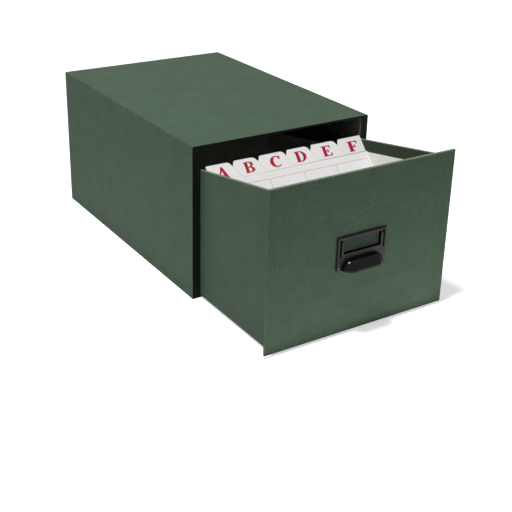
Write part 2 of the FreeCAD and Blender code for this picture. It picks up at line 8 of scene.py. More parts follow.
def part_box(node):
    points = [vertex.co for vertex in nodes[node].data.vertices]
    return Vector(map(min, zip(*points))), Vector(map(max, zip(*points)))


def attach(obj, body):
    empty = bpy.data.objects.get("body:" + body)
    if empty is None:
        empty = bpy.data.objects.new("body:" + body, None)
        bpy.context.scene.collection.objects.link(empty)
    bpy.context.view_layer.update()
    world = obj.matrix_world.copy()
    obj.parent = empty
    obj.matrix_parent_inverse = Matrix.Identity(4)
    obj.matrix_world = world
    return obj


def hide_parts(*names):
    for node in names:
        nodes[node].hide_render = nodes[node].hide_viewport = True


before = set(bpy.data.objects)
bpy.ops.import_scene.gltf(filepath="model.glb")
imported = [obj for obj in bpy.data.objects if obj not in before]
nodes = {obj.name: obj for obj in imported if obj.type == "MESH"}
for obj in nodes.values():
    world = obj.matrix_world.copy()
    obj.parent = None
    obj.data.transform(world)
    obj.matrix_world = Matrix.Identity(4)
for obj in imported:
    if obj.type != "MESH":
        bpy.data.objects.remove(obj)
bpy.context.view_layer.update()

print("frame loaded,", len(nodes), "nodes")


# helpers for node trees

noiseSpan = (0.3, 0.7)  # noise seldom leaves it
fibreSpan = (0.35, 0.65)


def addNode(tree, kind, links=None, **settings):
    node = tree.nodes.new(kind)
    for name, setting in settings.items():
        setattr(node, name, setting)
    for name, given in (links or {}).items():
        if isinstance(given, bpy.types.NodeSocket):
            tree.links.new(given, node.inputs[name])
        else:
            node.inputs[name].default_value = given
    return node


def maths(tree, operation, a, b=0.0, clamp=False):
    node = addNode(tree, "ShaderNodeMath", {0: a, 1: b}, operation=operation, use_clamp=clamp)
    return node.outputs[0]


def plus(tree, a, b, clamp=False):
    return maths(tree, "ADD", a, b, clamp)


def minus(tree, a, b):
    return maths(tree, "SUBTRACT", a, b)


def times(tree, a, b):
    return maths(tree, "MULTIPLY", a, b)


def inverse(tree, a):
    return minus(tree, 1, a)


def apart(tree, a, b):
    return maths(tree, "ABSOLUTE", minus(tree, a, b))


def vectorMaths(tree, operation, a, b=(0, 0, 0)):
    return addNode(tree, "ShaderNodeVectorMath", {0: a, 1: b}, operation=operation).outputs[0]


def mapped(tree, vector, **settings):
    return addNode(tree, "ShaderNodeMapping", {0: vector, **settings}).outputs[0]


def split(tree, vector):
    return addNode(tree, "ShaderNodeSeparateXYZ", {0: vector}).outputs


def fade(tree, value, start, end, low=0.0, high=1.0):
    links = {"Value": value, "From Min": start, "From Max": end, "To Min": low, "To Max": high}
    return addNode(tree, "ShaderNodeMapRange", links, interpolation_type="SMOOTHSTEP").outputs[0]


def spread(tree, value, low=0.0, high=1.0, span=noiseSpan):  # from noise to a range of our own
    return fade(tree, value, *span, low, high)


def noise(tree, position, scale, detail, roughness):
    links = {"Vector": position, "Scale": scale, "Detail": detail, "Roughness": roughness}
    return addNode(tree, "ShaderNodeTexNoise", links).outputs[0]


def mixColour(tree, factor, a, b):
    return addNode(tree, "ShaderNodeMix", {0: factor, 6: a, 7: b}, data_type="RGBA").outputs[2]


def tint(tree, colour, target, mask, depth):
    return mixColour(tree, times(tree, mask, depth), colour, target)


def bump(tree, height, distance, strength):
    links = {"Height": height, "Distance": distance, "Strength": strength}
    return addNode(tree, "ShaderNodeBump", links).outputs[0]


def newGroup(name, inputs, outputs):
    kinds = {"value": "NodeSocketFloat", "vector": "NodeSocketVector"}
    group = bpy.data.node_groups.new(name, "ShaderNodeTree")
    for title, kind, start in inputs:
        socket = group.interface.new_socket(title, in_out="INPUT", socket_type=kinds[kind])
        socket.default_value = start
    for title in outputs:
        group.interface.new_socket(title, in_out="OUTPUT", socket_type=kinds["value"])
    return (group, group.nodes.new("NodeGroupInput").outputs,
            group.nodes.new("NodeGroupOutput").inputs)


def useGroup(tree, group, **values):
    return addNode(tree, "ShaderNodeGroup", values, node_tree=group).outputs


def newMaterial(name, surface):
    material = bpy.data.materials.new(name)
    material.use_nodes = True
    tree = material.node_tree
    for title, given in surface.items():
        tree.nodes["Principled BSDF"].inputs[title].default_value = given
    return material, tree, addNode(tree, "ShaderNodeTexCoord").outputs["Object"]


def finished(material, colour, rough, normal, metal=None):
    tree = material.node_tree
    sockets = tree.nodes["Principled BSDF"].inputs
    tree.links.new(colour, sockets["Base Color"])
    if metal is not None:
        tree.links.new(metal, sockets["Metallic"])
    tree.links.new(rough, sockets["Roughness"])
    tree.links.new(normal, sockets["Normal"])
    return material


def tone(red, green, blue):  # screen values from 0 to 255
    channels = [value / 255 for value in (red, green, blue)]
    return tuple(c / 12.92 if c <= 0.04045 else ((c + 0.055) / 1.055) ** 2.4
                 for c in channels) + (1,)


# shared effects; a noise is given as its scale, detail and roughness

wearLook = {
    "patch": (4, 0.6),  # detail and roughness of the noise
    "patchSpan": (0.35, 0.75),
    "widths": (0.45, 1.9),  # shares of the width, from patch to patch
    "edgeSpan": (0.2, 1),
}


def makeEdgeWear():
    group, given, out = newGroup(
        "edgeWear",
        [("Position", "vector", (0, 0, 0)), ("Low", "vector", (0, 0, 0)),
         ("High", "vector", (1, 1, 1)), ("Width", "value", 0.001), ("Patches", "value", 60)],
        ["Distance", "Wear"])
    ends = ((given["Position"], given["Low"]), (given["High"], given["Position"]))
    fromEnds = [vectorMaths(group, "ABSOLUTE", vectorMaths(group, "SUBTRACT", *pair))
                for pair in ends]
    near = split(group, vectorMaths(group, "MINIMUM", *fromEnds))
    # on a face one distance is nothing, and the smaller of the other two leads to the edge
    lesser = maths(group, "MINIMUM", near[0], near[1])
    greater = maths(group, "MAXIMUM", near[0], near[1])
    distance = maths(group, "MAXIMUM", lesser, maths(group, "MINIMUM", greater, near[2]))
    group.links.new(distance, out["Distance"])
    patches = noise(group, given["Position"], given["Patches"], *wearLook["patch"])
    share = fade(group, patches, *wearLook["patchSpan"], *wearLook["widths"])
    width = times(group, given["Width"], share)
    kept = fade(group, maths(group, "DIVIDE", distance, width), *wearLook["edgeSpan"])
    group.links.new(inverse(group, kept), out["Wear"])
    return group


clothLook = {
    "wobbleScale": 90.0,
    "wobbleReach": 0.0012,
    "weaveShare": 0.2,
    "slub": (1500, 2, 0.6),
    "mottle": (480, 5, 0.75),
    "cloud": (34, 5, 0.7),
}


def makeClothGrain():
    group, given, out = newGroup(
        "clothGrain",
        [("Position", "vector", (0, 0, 0)), ("Thread", "value", 0.0006)],
        ["Weave", "Mottle", "Cloud"])
    turns = maths(group, "DIVIDE", math.tau, given["Thread"])
    wobble = addNode(group, "ShaderNodeTexNoise",
                     {"Vector": given["Position"], "Scale": clothLook["wobbleScale"]})
    reaches = (clothLook["wobbleReach"],) * 3
    shifted = addNode(group, "ShaderNodeVectorMath",
                      {0: wobble.outputs[1], 1: reaches, 2: given["Position"]},
                      operation="MULTIPLY_ADD").outputs[0]
    scaled = split(group, addNode(group, "ShaderNodeVectorMath", {0: shifted, "Scale": turns},
                                  operation="SCALE").outputs[0])
    waves = [maths(group, "SINE", axis) for axis in scaled]
    weave = plus(group, plus(group, waves[0], waves[1]), waves[2])
    slubs = noise(group, given["Position"], *clothLook["slub"])
    group.links.new(plus(group, times(group, weave, clothLook["weaveShare"]), slubs), out["Weave"])
    group.links.new(noise(group, given["Position"], *clothLook["mottle"]), out["Mottle"])
    group.links.new(noise(group, given["Position"], *clothLook["cloud"]), out["Cloud"])
    return group


fibreLook = {
    "lays": (0.5, -0.9),  # turns of two lays of fibres that cross
    "stretch": (1, 0.18, 0.5),
    "strand": (3, 0.6),  # detail and roughness of the noise
    "cloud": (16, 3, 0.5),
    "speckScale": 1.7,  # times that of the fibres
    "speck": (1, 0.5),
    "speckSpan": (0.70, 0.78),
}


def makePaperFibre():
    group, given, out = newGroup(
        "paperFibre",
        [("Position", "vector", (0, 0, 0)), ("Size", "value", 0.001)],
        ["Fibre", "Cloud", "Speck"])
    perMetre = maths(group, "DIVIDE", 1, given["Size"])
    strands = []
    for turn in fibreLook["lays"]:
        turned = mapped(group, given["Position"], Rotation=(turn, turn, turn),
                        Scale=fibreLook["stretch"])
        strands.append(noise(group, turned, perMetre, *fibreLook["strand"]))
    group.links.new(times(group, plus(group, *strands), 0.5), out["Fibre"])
    group.links.new(noise(group, given["Position"], *fibreLook["cloud"]), out["Cloud"])
    speckScale = times(group, perMetre, fibreLook["speckScale"])
    specks = noise(group, given["Position"], speckScale, *fibreLook["speck"])
    group.links.new(fade(group, specks, *fibreLook["speckSpan"]), out["Speck"])
    return group


sheetLook = {
    "seam": (0.0001, 0.0006),
    "edgeStep": 0.0002,
    "foldStep": 0.0008,
}


def makePastedSheet():
    group, given, out = newGroup(
        "pastedSheet",
        [("Distance", "value", 0), ("Inset", "value", 0.003), ("Fold", "value", 0.015)],
        ["Seam", "Height"])
    fromSeam = apart(group, given["Distance"], given["Inset"])
    group.links.new(inverse(group, fade(group, fromSeam, *sheetLook["seam"])), out["Seam"])
    steps = []
    for title, half in (("Inset", sheetLook["edgeStep"]), ("Fold", sheetLook["foldStep"])):
        steps.append(fade(group, minus(group, given["Distance"], given[title]), -half, half))
    group.links.new(minus(group, *steps), out["Height"])
    return group


edgeWear = makeEdgeWear()
clothGrain = makeClothGrain()
paperFibre = makePaperFibre()
pastedSheet = makePastedSheet()
print("shared effects made")


# materials

def wornEdges(tree, position, node, width, patches):
    low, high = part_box(node)
    return useGroup(tree, edgeWear, Position=position, Low=tuple(low), High=tuple(high),
                    Width=width, Patches=patches)


def middleAndHalf(node):
    low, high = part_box(node)
    return (low + high) / 2, (high - low) / 2


greenCloth = {
    "light": tone(73, 91, 75),
    "dark": tone(52, 71, 54),
    "thread": 0.0007,
    "mottleDepth": 0.75,
    "cloudDepth": 0.3,
    "worn": tone(98, 112, 96),
    "wearWidth": 0.0007,
    "wearDepth": 0.45,
    "patches": 70.0,
    "turnedIn": tone(48, 55, 38),
    "turnedSpan": (0.0022, 0.0026),  # in from the wall's outer face
    "turnedDepth": 0.8,
    # painted light on the upper edges
    "rim": tone(124, 137, 121),
    "rimWidth": 0.0013,
    "rimNoise": (160, 3, 0.6),
    "rimWidths": (0.5, 1.4),
    "rimSpan": (0.3, 1),
    "rimLightDepth": 0.8,
    "pressed": tone(26, 34, 27),  # painted shade behind the label holder and close beside it
    "pressedSpan": (0.0006, 0.0028),
    "pressedNoise": (240, 3, 0.6),
    "pressedWander": 0.0006,
    "pressedDepth": 0.64,
    "seamDepth": 0.5,
    "sheetRelief": 4,
    "fold": tone(40, 52, 43),
    "foldSpan": (0.0001, 0.0007),
    "foldDepth": 0.7,
    "foldRelief": 3,
    "rough": (0.62, 0.78),
    "wornRough": 0.1,
    "relief": (0.00006, 0.7),  # distance and strength
    "surface": {"Specular IOR Level": 0.12, "Roughness": 0.7},
}


def coverCloth(name, node, inset=None, mitred=False, inward=0, rimFall=None, under=None):
    look = greenCloth
    material, tree, position = newMaterial(name, look["surface"])
    grain = useGroup(tree, clothGrain, Position=position, Thread=look["thread"])
    wear = wornEdges(tree, position, node, look["wearWidth"], look["patches"])
    half = look["mottleDepth"] / 2
    speckled = spread(tree, grain["Mottle"], 0.5 - half, 0.5 + half)
    half = look["cloudDepth"] / 2
    clouded = spread(tree, grain["Cloud"], -half, half)
    shade = plus(tree, speckled, clouded, clamp=True)
    colour = mixColour(tree, shade, look["dark"], look["light"])
    if inward:  # the strip turned over into the tray is darker
        low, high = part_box(node)
        depth = apart(tree, split(tree, position)[0], high.x if inward < 0 else low.x)
        turned = fade(tree, depth, *look["turnedSpan"])
        colour = tint(tree, colour, look["turnedIn"], turned, look["turnedDepth"])
    colour = tint(tree, colour, look["worn"], wear["Wear"], look["wearDepth"])
    if rimFall is not None:  # painted light: the upper edge, which may fall to the rear, is lighter all along
        colour = tint(tree, colour, look["rim"], litRimMask(tree, position, node, rimFall),
                      look["rimLightDepth"])
    if under:  # painted shade behind and beside a part on the cover
        colour = tint(tree, colour, look["pressed"], besideMask(tree, position, under),
                      look["pressedDepth"])
    height = grain["Weave"]
    if inset is not None:  # a sheet pasted over the turned-in edges
        pasted = useGroup(tree, pastedSheet, Distance=wear["Distance"], Inset=inset)
        colour = tint(tree, colour, look["worn"], pasted["Seam"], look["seamDepth"])
        height = plus(tree, height, times(tree, pasted["Height"], look["sheetRelief"]))
    if mitred:  # the folds that meet at 45 degrees in the corners
        fold = mitreLine(tree, position, node)
        colour = tint(tree, colour, look["fold"], fold, look["foldDepth"])
        height = minus(tree, height, times(tree, fold, look["foldRelief"]))
    rough = plus(tree, spread(tree, grain["Mottle"], *look["rough"]),
                 times(tree, wear["Wear"], look["wornRough"]))
    return finished(material, colour, rough, bump(tree, height, *look["relief"]))


def litRimMask(tree, position, node, rimFall):
    low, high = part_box(node)
    y, z = split(tree, position)[1:]
    fallen = times(tree, minus(tree, y, low.y), rimFall)
    under = minus(tree, minus(tree, high.z, fallen), z)
    share = spread(tree, noise(tree, position, *greenCloth["rimNoise"]), *greenCloth["rimWidths"])
    width = times(tree, greenCloth["rimWidth"], share)
    return inverse(tree, fade(tree, maths(tree, "DIVIDE", under, width), *greenCloth["rimSpan"]))


def besideMask(tree, position, node):
    middle, half = middleAndHalf(node)
    place = split(tree, position)
    asides = [minus(tree, apart(tree, place[axis], middle[axis]), half[axis]) for axis in (0, 2)]
    aside = maths(tree, "MAXIMUM", *asides)
    wander = greenCloth["pressedWander"]
    uneven = spread(tree, noise(tree, position, *greenCloth["pressedNoise"]), -wander, wander)
    return fade(tree, plus(tree, aside, uneven), *greenCloth["pressedSpan"], 1, 0)


def mitreLine(tree, position, node):
    middle, half = middleAndHalf(node)
    place = split(tree, position)
    toEdges = [minus(tree, half[axis], apart(tree, place[axis], middle[axis])) for axis in (0, 2)]
    return inverse(tree, fade(tree, apart(tree, *toEdges), *greenCloth["foldSpan"]))


blackPaper = {
    "dark": tone(9, 9, 7),
    "light": tone(18, 18, 15),
    "fibre": 0.0014,
    "worn": tone(58, 57, 52),
    "wearWidth": 0.0005,
    "wearDepth": 0.25,
    "patches": 110.0,
    "marginStep": 0.0002,
    "marginMottle": (420, 3, 0.65),
    "sheetRelief": 3,
    "rough": (0.7, 0.88),
    "relief": (0.00008, 0.8),
    "surface": {"Specular IOR Level": 0.12, "Roughness": 0.8},
}


def bindingPaper(name, node, margin):
    look = blackPaper
    material, tree, position = newMaterial(name, look["surface"])
    fibre = useGroup(tree, paperFibre, Position=position, Size=look["fibre"])
    wear = wornEdges(tree, position, node, look["wearWidth"], look["patches"])
    shade = spread(tree, fibre["Fibre"], span=fibreSpan)
    colour = mixColour(tree, shade, look["dark"], look["light"])
    colour = tint(tree, colour, look["worn"], wear["Wear"], look["wearDepth"])
    height = fibre["Fibre"]
    if margin:  # the green cover is turned in round this sheet
        pasted = useGroup(tree, pastedSheet, Distance=wear["Distance"], Inset=margin)
        past = fade(tree, wear["Distance"], margin, margin + look["marginStep"])
        turned = inverse(tree, past)
        mottle = noise(tree, position, *look["marginMottle"])
        green = mixColour(tree, mottle, greenCloth["dark"], greenCloth["light"])
        colour = mixColour(tree, turned, colour, green)
        height = plus(tree, height, times(tree, pasted["Height"], look["sheetRelief"]))
    rough = spread(tree, fibre["Cloud"], *look["rough"])
    return finished(material, colour, rough, bump(tree, height, *look["relief"]))


paperLook = {  # what linings, guides and boards share
    "fibreShare": 0.7,  # of the shade, and the rest is clouds
    "speckDepth": 0.25,
    "rubWidth": 0.0012,
    "rubDepth": 0.4,
    "patches": 50.0,
    "rough": (0.76, 0.9),
    "relief": (0.00006, 0.6),
}

darkLining = {
    "dark": tone(32, 33, 27),
    "light": tone(46, 47, 39),
    "rubbed": tone(70, 70, 60),
    "fibre": 0.0016,
    "surface": {"Specular IOR Level": 0.02, "Roughness": 0.85},
}

litSideLining = {  # painted light: a lighter copy of the dark lining for the side walls, where light falls in at the mouth
    **darkLining,
    "dark": tone(122, 123, 102),
    "light": tone(146, 146, 126),
    "rubbed": tone(156, 154, 134),
}

paleLining = {
    "dark": tone(232, 233, 227),
    "light": tone(241, 242, 237),
    "rubbed": tone(184, 182, 172),
    "fibre": 0.0012,
    "surface": {"Specular IOR Level": 0.25, "Roughness": 0.8},
}

guideStock = {
    "dark": tone(234, 232, 232),
    "light": tone(243, 241, 241),
    "rubbed": tone(196, 190, 184),
    # painted shade along a card's sides and the outline of its face
    "cut": tone(172, 166, 166),
    "fibre": 0.0008,
    "surface": {"Specular IOR Level": 0.35, "Roughness": 0.6},
}

greyBoard = {
    "dark": tone(150, 146, 136),
    "light": tone(184, 180, 168),
    "rubbed": tone(96, 88, 76),
    "fibre": 0.0022,
    "surface": {"Specular IOR Level": 0.2, "Roughness": 0.9},
}


def plainPaper(name, settings, node, rubWidth=paperLook["rubWidth"], cutEdges=False):
    look = paperLook
    material, tree, position = newMaterial(name, settings["surface"])
    fibre = useGroup(tree, paperFibre, Position=position, Size=settings["fibre"])
    wear = wornEdges(tree, position, node, rubWidth, look["patches"])
    shade = plus(tree, spread(tree, fibre["Fibre"], 0.0, look["fibreShare"], fibreSpan),
                 spread(tree, fibre["Cloud"], 0.0, 1 - look["fibreShare"]))
    colour = mixColour(tree, shade, settings["dark"], settings["light"])
    colour = tint(tree, colour, settings["rubbed"], fibre["Speck"], look["speckDepth"])
    colour = tint(tree, colour, settings["rubbed"], wear["Wear"], look["rubDepth"])
    if cutEdges:  # painted shade: the sides of a sheet and the margin marked on its face are darker
        cut = addNode(tree, "ShaderNodeAttribute", None, attribute_name="cutEdge").outputs["Fac"]
        colour = mixColour(tree, cut, colour, settings["cut"])
    rough = spread(tree, fibre["Cloud"], *look["rough"])
    return finished(material, colour, rough, bump(tree, fibre["Fibre"], *look["relief"]))


cardStock = {
    "dark": tone(206, 203, 196),
    "light": tone(240, 238, 234),
    "rubbed": tone(198, 193, 184),
    "fibre": 0.0007,
    "speckDepth": 0.25,
    "lean": 0.4067,  # of the cards, in radians
    "cardSheet": 0.0005,
    "sheetShare": 0.4,  # of the shade, and the rest is uneven
    "stretch": (8, 900, 8),
    "uneven": (1.0, 3, 0.7),
    "rough": (0.66, 0.8),
    "relief": (0.00012, 0.6),
    "surface": {"Specular IOR Level": 0.3, "Roughness": 0.7},
}


def cardPack(name):  # one solid, marked as the many cards it stands for
    look = cardStock
    material, tree, position = newMaterial(name, look["surface"])
    fibre = useGroup(tree, paperFibre, Position=position, Size=look["fibre"])
    upright = mapped(tree, position, Rotation=(look["lean"], 0, 0))
    through = split(tree, upright)[1]
    uneven = noise(tree, mapped(tree, upright, Scale=look["stretch"]), *look["uneven"])
    sheets = maths(tree, "SINE", times(tree, through, math.tau / look["cardSheet"]))
    shade = plus(tree, fade(tree, sheets, -1, 1, 0.0, look["sheetShare"]),
                 spread(tree, uneven, 0.0, 1 - look["sheetShare"], fibreSpan))
    colour = mixColour(tree, shade, look["dark"], look["light"])
    colour = tint(tree, colour, look["rubbed"], fibre["Speck"], look["speckDepth"])
    rough = spread(tree, fibre["Cloud"], *look["rough"])
    normal = bump(tree, plus(tree, sheets, uneven), *look["relief"])
    return finished(material, colour, rough, normal)


packerBoard = {
    "dark": tone(146, 124, 92),
    "light": tone(182, 158, 122),
    "rubbed": tone(104, 84, 58),
    "plies": 0.0007,
    "plyShare": 0.4,  # of the shade, and the rest is fibres
    "fibre": 0.003,
    "speckDepth": 0.5,
    "rough": (0.8, 0.95),
    "relief": (0.0001, 0.6),
    "surface": {"Specular IOR Level": 0.2, "Roughness": 0.9},
}


def laminatedBoard(name):
    look = packerBoard
    material, tree, position = newMaterial(name, look["surface"])
    fibre = useGroup(tree, paperFibre, Position=position, Size=look["fibre"])
    x = split(tree, position)[0]
    ply = maths(tree, "SINE", times(tree, x, math.tau / look["plies"]))
    shade = plus(tree, fade(tree, ply, -1, 1, 0.0, look["plyShare"]),
                 spread(tree, fibre["Fibre"], 0.0, 1 - look["plyShare"]))
    colour = mixColour(tree, shade, look["dark"], look["light"])
    colour = tint(tree, colour, look["rubbed"], fibre["Speck"], look["speckDepth"])
    rough = spread(tree, fibre["Cloud"], *look["rough"])
    normal = bump(tree, plus(tree, ply, fibre["Fibre"]), *look["relief"])
    return finished(material, colour, rough, normal)


holderEnamel = {
    "dark": tone(24, 25, 23),
    "light": tone(36, 37, 34),
    "cloud": (70, 3, 0.6),
    "peel": (900, 2, 0.5),
    "shade": tone(8, 8, 7),  # painted shade on the sides
    "shadeSpan": (0.0009, 0.0017),  # back from the front face
    "shadeDepth": 0.85,
    "bare": tone(92, 92, 86),
    "wearWidth": 0.0004,
    "patches": 260.0,
    "chip": (500, 3, 0.6),
    "chipSpan": (0.5, 0.62),
    "chipDepth": 0.7,
    "chipMetal": 0.8,
    "rough": (0.38, 0.52),
    "relief": (0.00003, 0.5),
    "surface": {"Specular IOR Level": 0.16, "Roughness": 0.4},
}


def satinEnamel(name, node):
    look = holderEnamel
    material, tree, position = newMaterial(name, look["surface"])
    wear = wornEdges(tree, position, node, look["wearWidth"], look["patches"])
    peel = noise(tree, position, *look["peel"])
    cloud = noise(tree, position, *look["cloud"])
    colour = mixColour(tree, spread(tree, cloud), look["dark"], look["light"])
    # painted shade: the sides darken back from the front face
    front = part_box(node)[0].y
    depth = split(tree, position)[1]
    sides = fade(tree, depth, *(front + back for back in look["shadeSpan"]))
    colour = tint(tree, colour, look["shade"], sides, look["shadeDepth"])
    chips = fade(tree, noise(tree, position, *look["chip"]), *look["chipSpan"])
    chipped = times(tree, wear["Wear"], chips)
    colour = tint(tree, colour, look["bare"], chipped, look["chipDepth"])
    metal = times(tree, chipped, look["chipMetal"])
    rough = spread(tree, cloud, *look["rough"])
    return finished(material, colour, rough, bump(tree, peel, *look["relief"]), metal)


pullEnamel = {
    "dark": tone(4, 4, 4),
    "light": tone(9, 9, 8),
    "cloud": (120, 3, 0.6),
    "dust": tone(48, 47, 43),
    "dustNoise": (1600, 2, 0.6),
    "dustSpan": (0.66, 0.74),
    "dustDepth": 0.3,
    "dustRough": 0.3,
    "peel": (420, 3, 0.5),
    "rough": (0.09, 0.16),
    "relief": (0.0001, 0.5),
    "surface": {"Specular IOR Level": 0.14, "Roughness": 0.12},
}


def glossEnamel(name):
    look = pullEnamel
    material, tree, position = newMaterial(name, look["surface"])
    cloud = noise(tree, position, *look["cloud"])
    dust = fade(tree, noise(tree, position, *look["dustNoise"]), *look["dustSpan"])
    colour = mixColour(tree, cloud, look["dark"], look["light"])
    colour = tint(tree, colour, look["dust"], dust, look["dustDepth"])
    rough = plus(tree, spread(tree, cloud, *look["rough"]), times(tree, dust, look["dustRough"]))
    normal = bump(tree, noise(tree, position, *look["peel"]), *look["relief"])
    return finished(material, colour, rough, normal)


rivetSteel = {
    "dark": tone(44, 44, 41),
    "light": tone(78, 77, 72),
    "stretch": (4, 1, 0.3),
    "strokes": (900, 3, 0.6),
    "rough": (0.42, 0.6),
    "relief": (0.00003, 0.5),
    "surface": {"Metallic": 0.6, "Roughness": 0.4},
}


def burnishedSteel(name):
    look = rivetSteel
    material, tree, position = newMaterial(name, look["surface"])
    strokes = noise(tree, mapped(tree, position, Scale=look["stretch"]), *look["strokes"])
    colour = mixColour(tree, strokes, look["dark"], look["light"])
    rough = spread(tree, strokes, *look["rough"])
    return finished(material, colour, rough, bump(tree, strokes, *look["relief"]))


printInk = {
    "letters": (tone(168, 14, 42), tone(186, 36, 62)),  # full and thin
    "ruling": (tone(186, 112, 122), tone(206, 150, 156)),
    "fibre": 0.0006,
    "thinSpan": (0.45, 0.7),
    "rough": (0.5, 0.65),
    "relief": (0.00002, 0.4),
    "surface": {"Specular IOR Level": 0.3, "Roughness": 0.55},
}


def ink(name, full, thin):
    look = printInk
    material, tree, position = newMaterial(name, look["surface"])
    fibre = useGroup(tree, paperFibre, Position=position, Size=look["fibre"])
    colour = mixColour(tree, fade(tree, fibre["Fibre"], *look["thinSpan"]), full, thin)
    rough = spread(tree, fibre["Fibre"], *look["rough"], fibreSpan)
    return finished(material, colour, rough, bump(tree, fibre["Fibre"], *look["relief"]))


def dress(node, material):
    mesh = nodes[node].data
    mesh.materials.clear()
    mesh.materials.append(material)


clothNodes = {
    "case_cover_wrap": {},
    "case_back_sheet": {"inset": 0.003},
    "drawer_front_cover": {"rimFall": 0, "under": "label_holder"},
    "drawer_front_backing": {"mitred": True},
    "tray_left_cover": {"inward": 1, "rimFall": 0.17},
    "tray_right_cover": {"inward": -1, "rimFall": 0.17},
    "tray_front_cover": {},
    "tray_rear_cover": {},
}
for node, extra in clothNodes.items():
    dress(node, coverCloth("cloth_" + node, node, **extra))

blackNodes = {  # a name, and how wide the green margin round the sheet is
    "case_mouth_binding": ("binding_mouth", 0.0),
    "case_base_sheet": ("binding_base", 0.014),
    "tray_underside_sheet": ("binding_tray", 0.0),
}
for node, (name, margin) in blackNodes.items():
    dress(node, bindingPaper(name, node, margin))

linings = {"case_back": darkLining, "case_floor": darkLining, "case_left": litSideLining,
           "case_right": litSideLining, "case_top": darkLining}
linings.update({"tray_" + side: paleLining
                for side in ("floor", "front", "left", "right", "rear")})
for place, settings in linings.items():
    node = place + "_lining"
    dress(node, plainPaper("lining_" + place, settings, node))

boards = ["case_back_board", "case_bottom_board", "case_left_board", "case_right_board",
          "case_top_board", "drawer_front_board", "tray_floor_board", "tray_front_wall",
          "tray_left_wall", "tray_right_wall", "tray_rear_wall"]
for node in boards:
    dress(node, plainPaper("board_" + node, greyBoard, node))
for side in ("left", "right"):
    dress(f"case_{side}_packer", laminatedBoard("packer_" + side))

dress("index_cards", cardPack("card_pack"))
dress("label_holder", satinEnamel("enamel_holder", "label_holder"))
gloss = glossEnamel("enamel_pull")
dress("cup_pull", gloss)
steel = burnishedSteel("rivet_steel")
dress("pull_rivets", steel)
dress("rivet_washers", steel)
print("materials placed")


# pieces

def newObject(name, contents):
    made = bpy.data.objects.new(name, contents)
    bpy.context.scene.collection.objects.link(made)
    return made


def newPiece(name, mesh, material, body):
    piece = newObject(name, mesh)
    mesh.materials.clear()
    mesh.materials.append(material)
    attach(piece, body)
    return piece


def meshFrom(work, name):
    mesh = bpy.data.meshes.new(name)
    work.to_mesh(mesh)
    work.free()
    return mesh


def evaluatedMesh(holder):
    graph = bpy.context.evaluated_depsgraph_get()
    return bpy.data.meshes.new_from_object(holder.evaluated_get(graph))


def thicken(work, axis, place):  # the sheet's second face, moved to its place along an axis
    grown = bmesh.ops.extrude_face_region(work, geom=work.faces[:])["geom"]
    for vert in grown:
        if isinstance(vert, bmesh.types.BMVert):
            vert.co[axis] = place


pullShape = {
    "width": 0.063,
    "reach": 0.0144,
    "sheet": 0.0012,
    "arcSteps": 28,
    "turnSteps": 26,
    "straightSteps": 6,
    "lipSteps": 6,
    "merge": 0.000002,
    "sharpFrom": 40,  # degrees between faces
}


def pullSection():
    outer, sheet = pullShape["reach"], pullShape["sheet"]
    inner = outer - sheet
    lip = sheet / 2
    start = math.asin(lip / outer)
    points = []
    for k in range(pullShape["arcSteps"] + 1):  # over the back of the hood, from plate to lip
        angle = math.pi / 2 + (start - math.pi / 2) * k / pullShape["arcSteps"]
        points.append((outer * math.cos(angle), outer * math.sin(angle)))
    for k in range(1, pullShape["lipSteps"]):  # rolled lip
        angle = math.pi * k / pullShape["lipSteps"]
        points.append((outer - lip + lip * math.cos(angle), lip - lip * math.sin(angle)))
    for k in range(pullShape["arcSteps"] + 1):  # back along the inside
        angle = start + (math.pi / 2 - start) * k / pullShape["arcSteps"]
        points.append((inner * math.cos(angle), inner * math.sin(angle)))
    return points


def pullStations():  # places along the hood, and which way it faces there
    half = pullShape["width"] / 2 - pullShape["reach"]
    turns, straight = pullShape["turnSteps"], pullShape["straightSteps"]
    stations = [(-half, -math.pi / 2 + math.pi / 2 * k / turns) for k in range(turns + 1)]
    stations += [(-half + 2 * half * k / straight, 0.0) for k in range(1, straight)]
    stations += [(half, math.pi / 2 * k / turns) for k in range(turns + 1)]
    return stations


def makePull():
    low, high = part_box("cup_pull")
    middle = Vector(((low.x + high.x) / 2, high.y, low.z))
    section = pullSection()
    work = bmesh.new()
    rings = []
    for x, angle in pullStations():
        away = Vector((math.sin(angle), -math.cos(angle), 0))
        rings.append([work.verts.new(middle + Vector((x, 0, 0)) + away * out + Vector((0, 0, up)))
                      for out, up in section])
    count = len(section)
    for first, second in zip(rings, rings[1:]):
        for k in range(count):
            after = (k + 1) % count
            work.faces.new((first[k], first[after], second[after], second[k]))
    work.faces.new(rings[0])
    work.faces.new(list(reversed(rings[-1])))
    bmesh.ops.remove_doubles(work, verts=work.verts, dist=pullShape["merge"])
    bmesh.ops.recalc_face_normals(work, faces=work.faces)
    mesh = meshFrom(work, "pull_hood")
    mesh.shade_smooth()
    mesh.set_sharp_from_angle(angle=math.radians(pullShape["sharpFrom"]))
    piece = newPiece("pull_hood", mesh, gloss, "drawer")
    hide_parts("cup_pull")


makePull()
print("pull made")


# a black backing behind the holder's slots and window, also a dark sheet that stands in for the
# shade in the holder's hollow
labelBackShade = {
    "window": (-0.0298, 0.0248, 0.1154, 0.1302),  # left, right, foot, top of the opening
    "hollow": (-0.0378, 0.0328, 0.0936, 0.1351),
    "sheet": 0.0005,
    "edge": 0.00012,
    "edgeSteps": 2,
    "sharpFrom": 1,  # radian between faces
}


